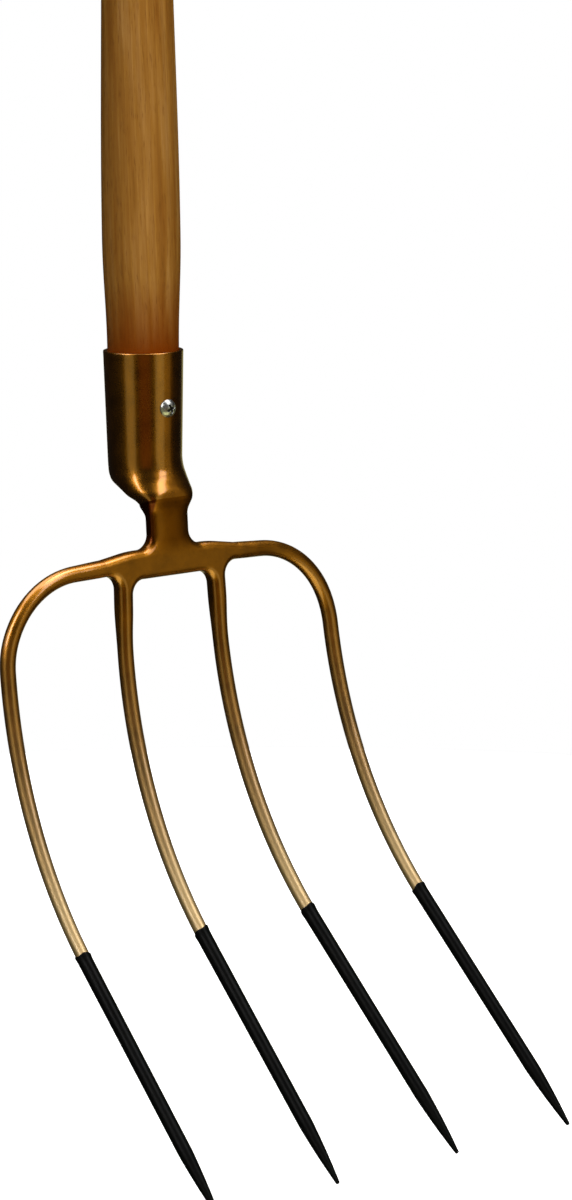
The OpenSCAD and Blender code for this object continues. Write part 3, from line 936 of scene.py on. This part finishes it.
def make_forging():
    outline = head_outline()
    places = np.array([p for p, inward in outline])
    inwards = np.array([inward for p, inward in outline])
    shares = crown_shares(places[:, 1])
    turn = np.linspace(0, math.pi / 2, EDGE_STEPS + 1)
    front = [(EDGE_R * (1 - math.sin(a)), PLATE_T / 2 - EDGE_R * (1 - math.cos(a))) for a in turn]
    levels = front + [(inset, -t) for inset, t in front[::-1]]
    rings = [
        crowned_points(places + inwards * inset, places[:, 0], t, shares) for inset, t in levels
    ]
    sides = len(outline)
    faces = ring_faces(len(rings), sides)
    points = np.concatenate(rings)
    flat = places + inwards * EDGE_R
    for t, ring_start in ((PLATE_T / 2, 0), (-PLATE_T / 2, (len(rings) - 1) * sides)):
        new, side_faces = crowned_side(places, flat, shares, t, ring_start, len(points))
        points = np.concatenate([points, new])
        faces += side_faces
    piece = add_piece(
        "forged_head", points, faces, head_lacquer, "head_forging", points
    )
    normals = piece.modifiers.new("flat_faces", "WEIGHTED_NORMAL")
    normals.keep_sharp = True


# Tines

# An outer tine's run along the shoulder, its bend and its leg, on the flat blank
BEND_END = math.pi / 2 - OUTER_SPLAY
BEND_X = OUTER_X - BEND_R * math.sin(BEND_END)
RUN_L = (BEND_X + BEND_R * math.sin(OUTER_DROOP) - ROOT_X) / math.cos(OUTER_DROOP)
BEND_S = RUN_L * math.sin(OUTER_DROOP) + BEND_R * math.cos(OUTER_DROOP)
BEND_L = BEND_R * (BEND_END - OUTER_DROOP)
LEG_S = BEND_S - BEND_R * math.cos(BEND_END)
OUTER_L = RUN_L + BEND_L + (REACH - LEG_S) / math.cos(OUTER_SPLAY)
INNER_L = (REACH - ROOT_S) / math.cos(INNER_SPLAY)


def middle_line(is_outer, q):
    """Place on the flat blank and heading, at a distance along a tine's middle line."""
    if not is_outer:
        x = STUB_MID + q * math.sin(INNER_SPLAY)
        s = ROOT_S + q * math.cos(INNER_SPLAY)
        return x, s, np.full_like(q, math.pi / 2 - INNER_SPLAY)
    run = np.minimum(q, RUN_L)
    heading = OUTER_DROOP + np.clip(q - RUN_L, 0, BEND_L) / BEND_R
    leg = np.maximum(0, q - RUN_L - BEND_L)
    x = (
        ROOT_X
        + run * math.cos(OUTER_DROOP)
        + BEND_R * (np.sin(heading) - math.sin(OUTER_DROOP))
        + leg * math.sin(OUTER_SPLAY)
    )
    s = (
        run * math.sin(OUTER_DROOP)
        + BEND_R * (math.cos(OUTER_DROOP) - np.cos(heading))
        + leg * math.cos(OUTER_SPLAY)
    )
    return x, s, heading


def taper_size(root, q, length):
    """Width or thickness of a tine at a distance along it, from what it is at the root."""
    near_root = mix(root, SHANK_W, ease(np.clip(q / ROOT_L, 0, 1)))
    along = (q - ROOT_L) / (length - POINT_L - ROOT_L)
    thinning = (SHANK_W - TIP_W) * ease(np.clip(along, 0, 1))
    to_tip = np.clip((q - length + POINT_L) / POINT_L, 0, 1)
    return mix(near_root - thinning, POINT_W, to_tip * (1 + to_tip) / 2)


def tine_surface(is_outer, q, angles, grow, scale=1.0):
    """Points of a tine at distances and angles round it, grown by a coat and scaled at its end."""
    length = OUTER_L if is_outer else INNER_L
    x, s, heading = middle_line(is_outer, q)
    within = np.clip(q, 0, length)
    half_w = taper_size(ROOT_W, within, length) / 2
    half_t = taper_size(PLATE_T, within, length) / 2
    rounding = ease(np.clip(q / ROOT_L, 0, 1))
    corner_w = mix(np.minimum(EDGE_R, half_w), half_w, rounding)
    corner_t = mix(np.minimum(EDGE_R, half_t), half_t, rounding)
    c = np.cos(angles)
    d = np.sin(angles)
    across = (np.sign(c) * (half_w - corner_w) + c * (corner_w + grow)) * scale
    forward = (np.sign(d) * (half_t - corner_t) + d * (corner_t + grow)) * scale
    return set_point(x + across * np.sin(heading), s - across * np.cos(heading), forward)


def tine_angles():
    """Angles round a tine, none of them on the flats between its four rounded corners."""
    quarter = (np.arange(TINE_QUARTER) + 0.5) / TINE_QUARTER * math.pi / 2
    return np.concatenate([quarter + k * math.pi / 2 for k in range(4)])


def tine_grain(q, angles):
    """Place round a tine and a distance along it, for the lines and runs of its finish."""
    turn = np.broadcast_to(angles, q.shape)
    return np.stack([np.cos(turn), np.sin(turn), q], -1).reshape(-1, 3)


TIP_ROUND = 0.5
TIP_STEPS = 5
# Size of the small flat that ends the tip, as a share of the point's own
TIP_FLAT = 0.08


def tip_rings():
    """Distances past the tine's end and sizes there, for a small round tip."""
    turn = np.linspace(0, math.pi / 2, TIP_STEPS + 1)[1:]
    return TIP_ROUND * np.sin(turn), np.maximum(np.cos(turn), TIP_FLAT)


def make_tine(name, node, is_outer, side):
    length = OUTER_L if is_outer else INNER_L
    angles = tine_angles()
    stations = np.linspace(0, length - DIP_T, int(length / TINE_STEP))
    q = np.repeat(stations[:, None], len(angles), 1)
    points, faces = tube_of(tine_surface(is_outer, q, angles, 0.0))
    points[:, 0] *= side
    add_piece(
        name, points, faces, tine_lacquer, node, tine_grain(length - q, angles)
    )


# Height of the waves in the dip's upper edge, and the share, count and shift of the second ones
DIP_WAVE = 0.9
WAVE_SHARE = 0.45
WAVE_COUNT = 3
WAVE_SHIFT = 2.3
# Length below the dip's upper edge at which its rings are level
SETTLE_L = 6 * DIP_WAVE
# The thicker lip at the dip's edge, and the length over which the edge is rounded
LIP_L = 1.6
LIP_H = 0.22
EDGE_ROUND = 0.5
DIP_EDGE_STEPS = 10
# Power above 1 that gathers the rings near the dip's edge
EDGE_GATHER = 1.6


def make_dip(name, node, is_outer, side, phase):
    length = OUTER_L if is_outer else INNER_L
    angles = tine_angles()
    second = WAVE_SHARE * np.sin(WAVE_COUNT * angles + WAVE_SHIFT * phase)
    start = length - DIP_L + DIP_WAVE * (np.sin(angles + phase) + second)
    settle = length - DIP_L + SETTLE_L
    near = np.linspace(0, 1, DIP_EDGE_STEPS, endpoint=False)[:, None] ** EDGE_GATHER
    edge_q = mix(start, settle, near)
    rest = np.linspace(settle, length - TIP_ROUND, int(DIP_L / TINE_STEP))
    past, sizes = tip_rings()
    q = np.concatenate(
        [
            edge_q,
            np.repeat(rest[:, None], len(angles), 1),
            np.repeat((length - TIP_ROUND + past)[:, None], len(angles), 1),
        ]
    )
    inside = q - start
    lip = LIP_H * np.exp(-(((inside - LIP_L / 2) / LIP_L) ** 2))
    grow = (DIP_T + lip) * np.sqrt(np.clip(inside / EDGE_ROUND, 0, 1))
    scale = np.ones((len(q), 1))
    scale[-len(sizes):, 0] = sizes
    points, faces = tube_of(tine_surface(is_outer, q, angles, grow, scale))
    points[:, 0] *= side
    add_piece(name, points, faces, dip, node, tine_grain(q, angles))


# Name, whether it is an outer tine, its side, and the phase of the waves in its dip's edge
TINES = [
    ("left_outer", True, -1, 0.4),
    ("left_inner", False, -1, 1.9),
    ("right_inner", False, 1, 3.1),
    ("right_outer", True, 1, 4.6),
]

make_handle()
make_socket()
make_weld()
make_screw()
make_forging()
for place, is_outer, side, phase in TINES:
    make_tine("bar_" + place, "tine_" + place, is_outer, side)
    make_dip("dip_" + place, "tip_coat_" + place, is_outer, side, phase)


# Camera, from a fit of the socket, the handle and the tines to the photograph

IMAGE_W = 572
IMAGE_H = 1200
SENSOR = 36.0
VIEW_AZIMUTH = math.radians(39.507)
VIEW_ELEVATION = math.radians(9.653)
VIEW_ROLL = math.radians(-0.681)
VIEW_DISTANCE = 2228.6
# Scale at the socket's mouth, and the pixel where the middle of the mouth lies
PIXELS_PER_MM = 2.065
MOUTH_PIXEL = (143.17, 349.5)

ahead = Vector(
    (
        math.sin(VIEW_AZIMUTH) * math.cos(VIEW_ELEVATION),
        math.cos(VIEW_AZIMUTH) * math.cos(VIEW_ELEVATION),
        -math.sin(VIEW_ELEVATION),
    )
)
level_right = Vector((math.cos(VIEW_AZIMUTH), -math.sin(VIEW_AZIMUTH), 0))
level_up = level_right.cross(ahead)
right = math.cos(VIEW_ROLL) * level_right + math.sin(VIEW_ROLL) * level_up
up = math.cos(VIEW_ROLL) * level_up - math.sin(VIEW_ROLL) * level_right
camera_place = (
    Vector((0, 0, MOUTH_Z))
    - VIEW_DISTANCE * ahead
    - (MOUTH_PIXEL[0] - IMAGE_W / 2) / PIXELS_PER_MM * right
    + (MOUTH_PIXEL[1] - IMAGE_H / 2) / PIXELS_PER_MM * up
)
camera_data = bpy.data.cameras.new("camera")
camera_data.sensor_width = SENSOR
camera_data.lens = PIXELS_PER_MM * VIEW_DISTANCE * SENSOR / IMAGE_H
camera = bpy.data.objects.new("camera", camera_data)
camera.matrix_world = Matrix.Translation(camera_place * MM) @ Matrix(
    (right, up, -ahead)
).transposed().to_4x4()
bpy.context.scene.collection.objects.link(camera)
bpy.context.scene.camera = camera


# Floor, backdrop and lights, with sizes in metres

FLOOR_R = 0.85
FLOOR_SIDES = 96
FLOOR_TONE = (0.9, 0.9, 0.9, 1)
FLOOR_ROUGH = 0.9
WHITE = (1, 1, 1, 1)
ROOM_TONE = (0.012, 0.012, 0.012, 1)
LIGHT_AIM = Vector((0, 0, -0.3))
WARM = (1.0, 1.0, 0.45)


def make_floor():
    height = cad_low.z
    angles = np.linspace(0, 2 * math.pi, FLOOR_SIDES, endpoint=False)
    corners = [(FLOOR_R * math.cos(a), FLOOR_R * math.sin(a), height) for a in angles]
    mesh = bpy.data.meshes.new("floor")
    mesh.from_pydata(corners, [], [tuple(range(FLOOR_SIDES))])
    glowing = Shader("pale_floor").finish(
        Base_Color=FLOOR_TONE,
        Roughness=FLOOR_ROUGH,
        Emission_Color=WHITE,
        Emission_Strength=1.0,
    )
    mesh.materials.append(glowing)
    floor = bpy.data.objects.new("floor", mesh)
    floor.visible_glossy = False
    floor.visible_diffuse = False
    floor.visible_shadow = False
    bpy.context.scene.collection.objects.link(floor)


def make_backdrop():
    """White where the camera looks, and a dim room for light and reflections."""
    world = bpy.data.worlds.new("studio")
    world.use_nodes = True
    tree = world.node_tree
    tree.nodes.clear()
    path = tree.nodes.new("ShaderNodeLightPath")
    seen = tree.nodes.new("ShaderNodeBackground")
    seen.inputs["Color"].default_value = WHITE
    room = tree.nodes.new("ShaderNodeBackground")
    room.inputs["Color"].default_value = ROOM_TONE
    choice = tree.nodes.new("ShaderNodeMixShader")
    output = tree.nodes.new("ShaderNodeOutputWorld")
    tree.links.new(path.outputs["Is Camera Ray"], choice.inputs[0])
    tree.links.new(room.outputs[0], choice.inputs[1])
    tree.links.new(seen.outputs[0], choice.inputs[2])
    tree.links.new(choice.outputs[0], output.inputs["Surface"])
    bpy.context.scene.world = world


def softbox(
    name, turn, distance, height, size, glow, colour=WHITE[:3], mirrored=True, diffuse=True
):
    """An area light, turned some degrees to the right of the camera as seen from the fork.

    Distance, height and size are in metres, and its glow is its brightness for each square metre.
    One that isn't mirrored doesn't show in polished metal, and one that isn't diffuse shows only
    there.
    """
    turn = math.radians(turn)
    across = math.cos(turn) * -Vector((ahead.x, ahead.y, 0)).normalized()
    place = (across + math.sin(turn) * level_right) * distance
    place.z = height
    data = bpy.data.lights.new(name, "AREA")
    data.shape = "RECTANGLE"
    data.size, data.size_y = size
    data.energy = glow * math.pi * size[0] * size[1]
    data.color = colour
    light = bpy.data.objects.new(name, data)
    light.visible_glossy = mirrored
    light.visible_diffuse = diffuse
    light.location = place
    light.rotation_euler = (LIGHT_AIM - place).to_track_quat("-Z", "Y").to_euler()
    bpy.context.scene.collection.objects.link(light)


make_floor()
make_backdrop()
# Strips, softboxes and cards show in the metal, and fills light what isn't polished
softbox("left_strip", -40, 1.7, -0.9, (0.9, 2.5), 0.48, colour=WARM, diffuse=False)
softbox("right_strip", 50, 1.7, -0.9, (0.9, 2.5), 0.65, colour=WARM)
softbox("left_softbox", -52, 1.7, 0.95, (0.7, 1.4), 8.0, diffuse=False)
softbox("right_softbox", 60, 1.7, 0.95, (0.7, 1.4), 4.3, diffuse=False)
softbox("high_softbox", 75, 0.8, 1.5, (1.2, 1.0), 5.0, diffuse=False)
softbox("top_softbox", 190, 0.35, 1.9, (3.0, 1.8), 3.5, diffuse=False)
softbox("side_card", 76, 1.7, -0.7, (0.62, 2.6), 0.32, colour=(1.0, 0.78, 0.15))
softbox("front_card", 5, 2.6, -0.7, (1.6, 2.0), 0.15, colour=(1.0, 0.35, 0.02))
softbox("back_card", 172, 1.9, -0.95, (1.6, 1.5), 0.4, colour=WARM, diffuse=False)
softbox("floor_card", 5, 0.5, -1.25, (1.0, 0.7), 2.0, colour=WARM, diffuse=False)
softbox("low_softbox", -78, 1.7, 0.35, (0.9, 0.6), 1.0, diffuse=False)
softbox("front_fill", -5, 1.9, 0.3, (1.2, 1.6), 5.1, mirrored=False)
softbox("right_fill", 60, 1.9, 0.3, (1.2, 1.6), 2.0, mirrored=False)
softbox("back_fill", 172, 1.9, 0.5, (1.2, 2.4), 3.4, mirrored=False)

bpy.context.scene.view_settings.view_transform = "Standard"
